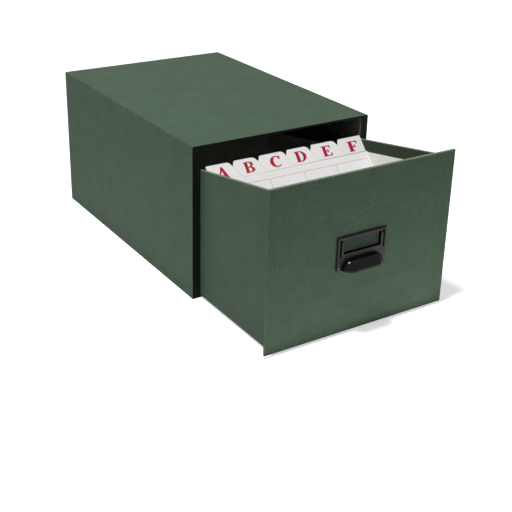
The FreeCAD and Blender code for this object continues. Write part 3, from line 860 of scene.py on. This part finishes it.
def makeLabelBackShade():
    left, right, foot, top = labelBackShade["hollow"]
    openLeft, openRight, openFoot, openTop = labelBackShade["window"]
    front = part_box("drawer_front_cover")[0].y
    work = bmesh.new()
    grid = [[work.verts.new((x, front - labelBackShade["sheet"], up))
             for x in (left, openLeft, openRight, right)]
            for up in (foot, openFoot, openTop, top)]
    for row in range(3):
        for column in range(3):
            if (row, column) != (1, 1):
                work.faces.new((grid[row][column], grid[row][column + 1],
                                grid[row + 1][column + 1], grid[row + 1][column]))
    thicken(work, 1, front)
    bmesh.ops.recalc_face_normals(work, faces=work.faces)
    sharp = [edge for edge in work.edges if edge.calc_face_angle(0) > labelBackShade["sharpFrom"]]
    bmesh.ops.bevel(work, geom=sharp, offset=labelBackShade["edge"], segments=labelBackShade["edgeSteps"],
                    affect="EDGES")
    newPiece("label_back_shade", meshFrom(work, "label_back_shade"), gloss, "drawer")


makeLabelBackShade()
print("label back made")


guideCards = {
    "letters": "abcdef",
    "cadLean": 32.4,  # degrees from upright
    "cadSheet": 0.0006,
    "lean": 41.0,  # of the upper part
    "footLean": 26.3,
    "leanSteps": 60,
    "bendFrom": 0.09,  # up along the card
    "bendTo": 0.15,
    "bendRows": 12,
    "body": 0.195,  # length without the tab
    "halfWidth": 0.1258,
    "sheet": 0.0005,
    "pitch": 0.0006,
    "shadedMargin": 0.0004,  # margin along the outline, greyed as painted shade
    "shadedMarginDepth": 0.7,
    "rubWidth": 0.0006,
    "tabHeight": 0.0234,
    "slant": 0.55,  # run of a tab's sides for each unit of height
    "leftRadius": 0.0014,
    "rightRadius": 0.0075,
    "cornerSteps": 8,
    "tabs": {  # upper corners from where its sixth of the card begins
        "a": (0.0, 0.0345),
        "b": (0.0005, 0.0315),
        "c": (-0.0015, 0.035),
        "d": (0.001, 0.0325),
        "e": (-0.0008, 0.0365),
        "f": (0.0035, 0.0435),
    },
    "sideGap": 0.0002,  # from the last tab's corner to the card's side
    "printLift": 0.00005,
}


def leanAt(up):
    first, last = guideCards["bendFrom"], guideCards["bendTo"]
    part = min(max((up - first) / (last - first), 0), 1)
    part = part * part * (3 - 2 * part)
    foot = guideCards["footLean"]
    return math.radians(foot + (guideCards["lean"] - foot) * part)


def alongCard(up):  # how far back and up a point lies from the upper edge of the card's body
    steps = guideCards["leanSteps"]
    step = (up - guideCards["body"]) / steps
    leans = [leanAt(guideCards["body"] + step * (k + 0.5)) for k in range(steps)]
    back = sum(math.sin(lean) for lean in leans)
    rise = sum(math.cos(lean) for lean in leans)
    return back * step, rise * step


def bodyEdge(letter):  # the upper edge of a card's body, where the solid has it too
    lean = math.radians(guideCards["cadLean"])
    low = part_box("guide_card_a")[0]
    place = guideCards["letters"].index(letter)
    back = guideCards["body"] * math.sin(lean) + place * guideCards["pitch"] / math.cos(lean)
    rise = guideCards["body"] * math.cos(lean) + guideCards["cadSheet"] * math.sin(lean)
    return Vector((0, low.y + back, low.z + rise))


def cardPlane(letter):  # from a card's own face, x across and z up, to where it leans
    lean = math.radians(guideCards["lean"])
    return Matrix.Translation(bodyEdge(letter)) @ Matrix.Rotation(-lean, 4, "X")


def sixthOf(letter):  # where the tab's sixth of the card begins
    half = guideCards["halfWidth"]
    return -half + guideCards["letters"].index(letter) * half / 3


def roundCorner(before, corner, after, radius):
    before, corner, after = Vector(before), Vector(corner), Vector(after)
    toBefore, toAfter = (before - corner).normalized(), (after - corner).normalized()
    half = toBefore.angle(toAfter) / 2
    centre = corner + (toBefore + toAfter).normalized() * radius / math.sin(half)
    start = corner + toBefore * radius / math.tan(half) - centre
    end = corner + toAfter * radius / math.tan(half) - centre
    turn = start.angle_signed(end)
    points = []
    for k in range(guideCards["cornerSteps"] + 1):
        angle = -turn * k / guideCards["cornerSteps"]
        points.append((centre.x + start.x * math.cos(angle) - start.y * math.sin(angle),
                       centre.y + start.x * math.sin(angle) + start.y * math.cos(angle)))
    return points


def guideOutline(letter):
    half, body = guideCards["halfWidth"], guideCards["body"]
    crown, slant = body + guideCards["tabHeight"], guideCards["slant"] * guideCards["tabHeight"]
    left, right = (sixthOf(letter) + offset for offset in guideCards["tabs"][letter])
    right = min(right, half - guideCards["sideGap"])
    leftFoot = (left - slant, body) if letter != "a" else (-half, body)
    rightFoot = (right + slant, body) if letter != "f" else (half, body)
    points = [(-half, 0), (half, 0)]
    if letter != "f":
        points.append((half, body))
    points.append(rightFoot)
    points += roundCorner(rightFoot, (right, crown), (left, crown),
                          guideCards["rightRadius" if letter != "f" else "leftRadius"])
    points += roundCorner((right, crown), (left, crown), leftFoot, guideCards["leftRadius"])
    points.append(leftFoot)
    if letter != "a":
        points.append((-half, body))
    return points


def bendSheet(work, letter):
    edge = bodyEdge(letter)
    placed = {}
    for vert in work.verts:
        x, up, deep = vert.co
        if up not in placed:
            placed[up] = (alongCard(up), leanAt(up))
        (back, rise), lean = placed[up]
        vert.co = (x, edge.y + back + deep * math.cos(lean), edge.z + rise - deep * math.sin(lean))


def makeGuide(letter):
    work = bmesh.new()
    cut = work.faces.layers.float.new("cutEdge")
    face = work.faces.new([work.verts.new((x, up, 0)) for x, up in guideOutline(letter)])
    face.normal_update()
    margin = bmesh.ops.inset_region(work, faces=[face], thickness=guideCards["shadedMargin"],
                                    use_even_offset=True, use_boundary=True)["faces"]
    # painted shade along the outline of the face
    for strip in margin:
        strip[cut] = guideCards["shadedMarginDepth"]
    first, last, rows = guideCards["bendFrom"], guideCards["bendTo"], guideCards["bendRows"]
    for k in range(rows + 1):
        up = first + (last - first) * k / rows
        everything = work.verts[:] + work.edges[:] + work.faces[:]
        bmesh.ops.bisect_plane(work, geom=everything, plane_co=(0, up, 0), plane_no=(0, 1, 0))
    thicken(work, 2, guideCards["sheet"])
    work.normal_update()
    for face in work.faces:
        if abs(face.normal.z) < 0.5:  # it faces sideways
            face[cut] = 1.0
    bendSheet(work, letter)
    bmesh.ops.recalc_face_normals(work, faces=work.faces)
    mesh = meshFrom(work, "guide_sheet_" + letter)
    node = "guide_card_" + letter
    material = plainPaper("guide_" + letter, guideStock, node, guideCards["rubWidth"],
                          cutEdges=True)
    piece = newPiece("guide_sheet_" + letter, mesh, material, "drawer")
    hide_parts(node)


for letter in guideCards["letters"]:
    makeGuide(letter)
print("guides made")


def bowl(centre, width, height, start, end, steps):
    angles = [math.radians(start + (end - start) * k / steps) for k in range(steps + 1)]
    return [(centre[0] + width * math.cos(a), centre[1] + height * math.sin(a)) for a in angles]


stem = [(0, 1), (0, 0.93), (0.07, 0.91), (0.07, 0.09), (0, 0.07), (0, 0)]
letterShapes = {
    "a": [[(0, 0), (0.33, 0), (0.33, 0.06), (0.25, 0.08), (0.295, 0.24), (0.555, 0.24),
           (0.6, 0.08), (0.52, 0.06), (0.52, 0), (0.96, 0), (0.96, 0.06), (0.88, 0.08),
           (0.57, 1.01), (0.42, 1.01), (0.1, 0.08), (0, 0.06)],
          [(0.32, 0.31), (0.53, 0.31), (0.428, 0.67)]],
    "b": [stem + bowl((0.48, 0.265), 0.38, 0.265, -90, 78, 14)
          + bowl((0.46, 0.755), 0.35, 0.245, -60, 90, 12),
          [(0.35, 0.08), (0.35, 0.46)] + bowl((0.44, 0.27), 0.15, 0.19, 90, -90, 10),
          [(0.35, 0.55), (0.35, 0.92)] + bowl((0.43, 0.735), 0.13, 0.185, 90, -90, 10)],
    "c": [bowl((0.47, 0.5), 0.46, 0.52, 52, 318, 26) + bowl((0.51, 0.5), 0.23, 0.43, 305, 62, 22)
          + [(0.7, 0.68), (0.78, 0.66), (0.8, 1.0), (0.74, 1.0)]],
    "d": [stem + bowl((0.42, 0.5), 0.5, 0.5, -90, 90, 24),
          [(0.35, 0.08), (0.35, 0.92)] + bowl((0.4, 0.5), 0.24, 0.42, 90, -90, 20)],
    "e": [stem + [(0.78, 0), (0.84, 0.32), (0.77, 0.32), (0.7, 0.17), (0.6, 0.09), (0.36, 0.09),
                  (0.36, 0.46), (0.45, 0.46), (0.51, 0.35), (0.58, 0.35), (0.58, 0.65),
                  (0.51, 0.65), (0.45, 0.55), (0.36, 0.55), (0.36, 0.91), (0.58, 0.91),
                  (0.68, 0.84), (0.73, 0.7), (0.8, 0.7), (0.77, 1)]],
    "f": [stem + [(0.46, 0), (0.46, 0.07), (0.36, 0.09), (0.36, 0.44), (0.43, 0.44), (0.5, 0.33),
                  (0.56, 0.33), (0.56, 0.64), (0.5, 0.64), (0.43, 0.54), (0.36, 0.54),
                  (0.36, 0.91), (0.56, 0.91), (0.67, 0.83), (0.71, 0.68), (0.78, 0.68),
                  (0.75, 1)]],
}

tabLetters = {
    "capHeight": 0.0154,
    "widen": {"a": 1.2, "b": 1.14, "c": 1.36, "d": 1.22, "e": 1.22, "f": 1.4},
    "centreX": {"a": 0.0210, "b": 0.0200, "c": 0.0193, "d": 0.0188, "e": 0.0210, "f": 0.0241},
    "centreUp": {"a": 0.0106, "b": 0.0109, "c": 0.0108, "d": 0.0106, "e": 0.0104, "f": 0.0094},
}


def makeLetter(letter, place, material):
    outline = bpy.data.curves.new("letter_outline", "CURVE")
    outline.dimensions = "2D"
    outline.fill_mode = "BOTH"
    for points in letterShapes[letter]:
        spline = outline.splines.new("POLY")
        spline.points.add(len(points) - 1)
        for point, (x, up) in zip(spline.points, points):
            point.co = (x, up, 0, 1)
        spline.use_cyclic_u = True
    holder = newObject("letter_outline", outline)
    mesh = evaluatedMesh(holder)
    bpy.data.objects.remove(holder)
    cap = tabLetters["capHeight"]
    width = max(x for x, up in letterShapes[letter][0])
    # the outline lies in x and y, and stands up on the card's face
    shift = Matrix.Translation((-width / 2, -0.5, 0))
    size = Matrix.Diagonal((cap * tabLetters["widen"][letter], cap, cap, 1))
    mesh.transform(place @ Matrix.Rotation(math.pi / 2, 4, "X") @ size @ shift)
    mesh.name = "letter_" + letter
    newPiece("letter_" + letter, mesh, material, "drawer")


def makeLetters():
    red = ink("ink_red", *printInk["letters"])
    for letter in guideCards["letters"]:
        x = sixthOf(letter) + tabLetters["centreX"][letter]
        shift = Matrix.Translation((x, -guideCards["printLift"], tabLetters["centreUp"][letter]))
        makeLetter(letter, cardPlane(letter) @ shift, red)


makeLetters()
print("letters made")


ruledCells = {
    "count": 4,
    "pitch": 0.0541,
    "cellWidth": 0.0541,
    "cellHeight": 0.03,
    "corner": 0.003,
    "cornerSteps": 5,
    "line": 0.00045,
    "lineDepth": 0.00003,
    "firstX": 0.0579,  # middle of the first of them from the card's left side
    "narrowWidth": 0.0256,  # of the single cell to their left
    "topUnder": 0.0099,  # under the upper edge of the card's body
}


def ruledTree(material):
    tree = bpy.data.node_groups.new("ruledCells", "GeometryNodeTree")
    tree.interface.new_socket("Geometry", in_out="INPUT", socket_type="NodeSocketGeometry")
    tree.interface.new_socket("Count", in_out="INPUT", socket_type="NodeSocketInt")
    for title in ("Pitch", "Cell Width", "Cell Height", "Corner", "Line", "Depth"):
        tree.interface.new_socket(title, in_out="INPUT", socket_type="NodeSocketFloat")
    tree.interface.new_socket("Geometry", in_out="OUTPUT", socket_type="NodeSocketGeometry")
    given = tree.nodes.new("NodeGroupInput").outputs
    out = tree.nodes.new("NodeGroupOutput").inputs
    cell = addNode(tree, "GeometryNodeCurvePrimitiveQuadrilateral",
                   {"Width": given["Cell Width"], "Height": given["Cell Height"]})
    rounded = addNode(tree, "GeometryNodeFilletCurve",
                      {"Curve": cell.outputs[0], "Radius": given["Corner"],
                       "Count": ruledCells["cornerSteps"]}, mode="POLY")
    bar = addNode(tree, "GeometryNodeCurvePrimitiveQuadrilateral",
                  {"Width": given["Line"], "Height": given["Depth"]})
    drawn = addNode(tree, "GeometryNodeCurveToMesh",
                    {"Curve": rounded.outputs[0], "Profile Curve": bar.outputs[0]})
    step = addNode(tree, "ShaderNodeCombineXYZ", {"X": given["Pitch"]})
    row = addNode(tree, "GeometryNodeMeshLine",
                  {"Count": given["Count"], "Offset": step.outputs[0]})
    placed = addNode(tree, "GeometryNodeInstanceOnPoints",
                     {"Points": row.outputs[0], "Instance": drawn.outputs[0]})
    real = addNode(tree, "GeometryNodeRealizeInstances", {0: placed.outputs[0]})
    inked = addNode(tree, "GeometryNodeSetMaterial", {0: real.outputs[0], "Material": material})
    tree.links.new(inked.outputs[0], out[0])
    return tree


def grownMesh(tree, settings):  # a plain mesh from a tree of Geometry Nodes
    holder = newObject("grower", bpy.data.meshes.new("grower"))
    grower = holder.modifiers.new("grower", "NODES")
    grower.node_group = tree
    sockets = {item.name: item.identifier for item in tree.interface.items_tree
               if item.in_out == "INPUT"}
    for title, given in settings.items():
        grower[sockets[title]] = given
    mesh = evaluatedMesh(holder)
    holder.modifiers.remove(grower)
    bpy.data.objects.remove(holder)
    return mesh


def makeRuling():
    red = ink("ink_ruling", *printInk["ruling"])
    tree = ruledTree(red)
    work = bmesh.new()
    width, narrow = ruledCells["cellWidth"], ruledCells["narrowWidth"]
    up = -ruledCells["topUnder"] - ruledCells["cellHeight"] / 2
    firstX = ruledCells["firstX"] - guideCards["halfWidth"]
    rows = ((ruledCells["count"], width, firstX), (1, narrow, firstX - (width + narrow) / 2))
    for count, cellWidth, x in rows:
        row = grownMesh(tree, {
            "Count": count, "Pitch": ruledCells["pitch"], "Cell Width": cellWidth,
            "Cell Height": ruledCells["cellHeight"], "Corner": ruledCells["corner"],
            "Line": ruledCells["line"], "Depth": ruledCells["lineDepth"]})
        shift = Matrix.Translation((x, -guideCards["printLift"], up))
        row.transform(cardPlane("a") @ (shift @ Matrix.Rotation(math.pi / 2, 4, "X")))
        work.from_mesh(row)
    newPiece("guide_ruling", meshFrom(work, "guide_ruling"), red, "drawer")


makeRuling()
print("ruling made")


# floor, light and camera

studio = {
    "floorSize": 9.0,
    "floorDrop": 0.0004,
    "floorSurface": {
        "Base Color": (0.9, 0.9, 0.9, 1),
        "Roughness": 0.9,
        "Specular IOR Level": 0.0,
        "Emission Color": (1, 1, 1, 1),
    },
    "floorGlow": 0.6,  # near the object, and 1 far from it
    "glowSpan": (1.0, 2.2),
    "worldColour": (1, 1, 1, 1),
    "worldLevel": 0.085,
    "aim": (0, -0.1, 0.1),
    "lamps": {  # place, size and watts
        "top": ((-0.75, -0.44, 2.6), 0.4, 66),
        "front": ((-1.75, -2.0, 1.6), 0.25, 1.0),
        "side": ((-2.6, -0.4, 0.6), 0.2, 0.7),
        "rear": ((0.4, 1.9, 2.2), 1.5, 6),
    },
    "bounceSize": 0.34,
    "bounceLamps": {  # on the floor, shining straight up: place and watts
        "cardFront": ((-0.05, -0.56, 0.003), 0.5),
        "cardRight": ((0.27, -0.56, 0.003), 0.42),
        "cardLeft": ((-0.33, -0.30, 0.003), 0.11),
        "cardSide": ((-0.33, 0.04, 0.003), 0.13),
    },
}


def seenMask(tree):  # 1 for the camera, also by way of metal or glass
    ray = addNode(tree, "ShaderNodeLightPath").outputs
    bounced = plus(tree, ray["Is Glossy Ray"], ray["Is Transmission Ray"])
    return plus(tree, ray["Is Camera Ray"], bounced, clamp=True)


def makeFloor():
    half = studio["floorSize"] / 2
    corners = [(-half, -half), (half, -half), (half, half), (-half, half)]
    mesh = bpy.data.meshes.new("floor")
    mesh.from_pydata([(x, y, -studio["floorDrop"]) for x, y in corners], [], [(0, 1, 2, 3)])
    floor = newObject("floor", mesh)
    material, tree, position = newMaterial("studio_floor", studio["floorSurface"])
    away = addNode(tree, "ShaderNodeVectorMath", {0: position}, operation="LENGTH")
    glow = fade(tree, away.outputs["Value"], *studio["glowSpan"], studio["floorGlow"], 1.0)
    tree.links.new(times(tree, seenMask(tree), glow),
                   tree.nodes["Principled BSDF"].inputs["Emission Strength"])
    mesh.materials.append(material)


def makeWorld():
    world = bpy.data.worlds.new("studio")
    bpy.context.scene.world = world
    world.use_nodes = True
    tree = world.node_tree
    level = fade(tree, seenMask(tree), 0, 1, studio["worldLevel"], 1.0)
    background = tree.nodes["Background"].inputs
    background["Color"].default_value = studio["worldColour"]
    tree.links.new(level, background["Strength"])


def makeLamp(name, place, size, watts, aim):
    light = bpy.data.lights.new("lamp_" + name, "AREA")
    light.shape = "SQUARE"
    light.size = size
    light.energy = watts
    lamp = newObject("lamp_" + name, light)
    lamp.location = place
    lamp.visible_camera = False
    lamp.rotation_euler = (Vector(aim) - Vector(place)).to_track_quat("-Z", "Y").to_euler()


def makeLamps():
    for name, (place, size, watts) in studio["lamps"].items():
        makeLamp(name, place, size, watts, studio["aim"])
    for name, (place, watts) in studio["bounceLamps"].items():
        makeLamp(name, place, studio["bounceSize"], watts, (*place[:2], 1))


cameraPlace = {
    "place": (-0.7054, -1.2117, 0.6218),
    "heading": 32.727,  # degrees from +Y towards +X
    "fall": 22.587,  # degrees below the horizon
    "roll": 1.189,
    "sensor": 36,
    "lens": 68.22,
    "shift": (0.0189, -0.1052),
}


def makeCamera():
    heading, fall, roll = (math.radians(cameraPlace[key]) for key in ("heading", "fall", "roll"))
    forward = Vector((math.sin(heading) * math.cos(fall), math.cos(heading) * math.cos(fall),
                      -math.sin(fall)))
    right = forward.cross(Vector((0, 0, 1))).normalized()
    up = right.cross(forward)
    rolledRight = right * math.cos(roll) + up * math.sin(roll)
    rolledUp = up * math.cos(roll) - right * math.sin(roll)
    lens = bpy.data.cameras.new("camera")
    lens.sensor_width = cameraPlace["sensor"]
    lens.lens = cameraPlace["lens"]
    lens.shift_x, lens.shift_y = cameraPlace["shift"]
    camera = newObject("camera", lens)
    turn = Matrix((rolledRight, rolledUp, -forward)).transposed().to_4x4()
    camera.matrix_world = Matrix.Translation(cameraPlace["place"]) @ turn
    bpy.context.scene.camera = camera


makeFloor()
makeWorld()
makeLamps()
makeCamera()
bpy.context.scene.view_settings.view_transform = "Standard"
print("floor, light and camera set")
